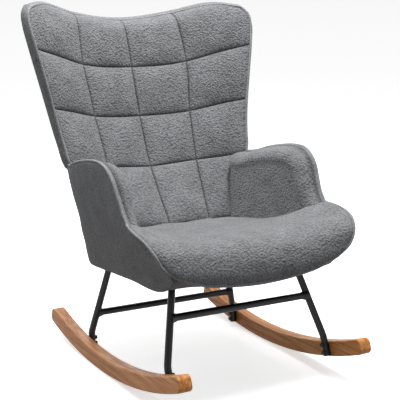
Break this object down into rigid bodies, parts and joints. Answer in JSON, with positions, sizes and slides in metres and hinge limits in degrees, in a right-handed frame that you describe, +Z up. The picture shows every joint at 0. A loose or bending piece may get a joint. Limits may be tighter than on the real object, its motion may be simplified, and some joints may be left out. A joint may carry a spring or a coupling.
{
  "type": "rocking chair",
  "caption": "Upholstered wingback rocking chair: padded tub seat and tufted winged back on a bent steel leg frame with curved wooden rockers.",
  "frame": {"origin": "middle of the chair's footprint on the floor", "axes": "+Z up, -Y the way the sitter faces, +X the sitter's left"},
  "size_m": [0.732, 0.9556, 0.9972],
  "materials": {
    "rocker_wood": "satin",
    "frame_wood": "matte",
    "black_steel": "satin",
    "zinc_fasteners": "satin",
    "black_plastic": "matte",
    "boucle_fabric": "matte",
    "outer_fabric": "matte",
    "piping_fabric": "matte",
    "elastic_webbing": "matte",
    "dust_cover_cloth": "matte"
  },
  "bodies": {
    "root": {"back_cushion": "boucle_fabric", "back_lower_rail": "frame_wood", "back_lumbar_rail": "frame_wood", "back_piping": "piping_fabric", "back_rear_cover": "outer_fabric", "back_straps": "elastic_webbing", "back_top_rail": "frame_wood", "crossbar_welds": "black_steel", "front_crossbar": "black_steel", "front_mounting_board": "frame_wood", "left_arm_frame": "frame_wood", "left_arm_outer_panel": "outer_fabric", "left_arm_pad": "boucle_fabric", "left_arm_piping": "piping_fabric", "left_back_post": "frame_wood", "left_front_leg": "black_steel", "left_front_mounting_plate": "black_steel", "left_rear_leg": "black_steel", "left_rear_mounting_plate": "black_steel", "left_rocker": "rocker_wood", "left_seat_side_rail": "frame_wood", "left_wing_frame": "frame_wood", "leg_end_plugs": "black_plastic", "plate_welds": "black_steel", "rear_crossbar": "black_steel", "rear_mounting_board": "frame_wood", "right_arm_frame": "frame_wood", "right_arm_outer_panel": "outer_fabric", "right_arm_pad": "boucle_fabric", "right_arm_piping": "piping_fabric", "right_back_post": "frame_wood", "right_front_leg": "black_steel", "right_front_mounting_plate": "black_steel", "right_rear_leg": "black_steel", "right_rear_mounting_plate": "black_steel", "right_rocker": "rocker_wood", "right_seat_side_rail": "frame_wood", "right_wing_frame": "frame_wood", "rocker_bolts": "zinc_fasteners", "rocker_threaded_inserts": "zinc_fasteners", "rocker_washers": "zinc_fasteners", "seat_bolts": "zinc_fasteners", "seat_cross_straps": "elastic_webbing", "seat_cushion": "boucle_fabric", "seat_front_apron": "outer_fabric", "seat_front_piping": "piping_fabric", "seat_front_rail": "frame_wood", "seat_long_straps": "elastic_webbing", "seat_rear_rail": "frame_wood", "tee_nuts": "zinc_fasteners", "underside_dust_cover": "dust_cover_cloth"}
  },
  "joints": []
}
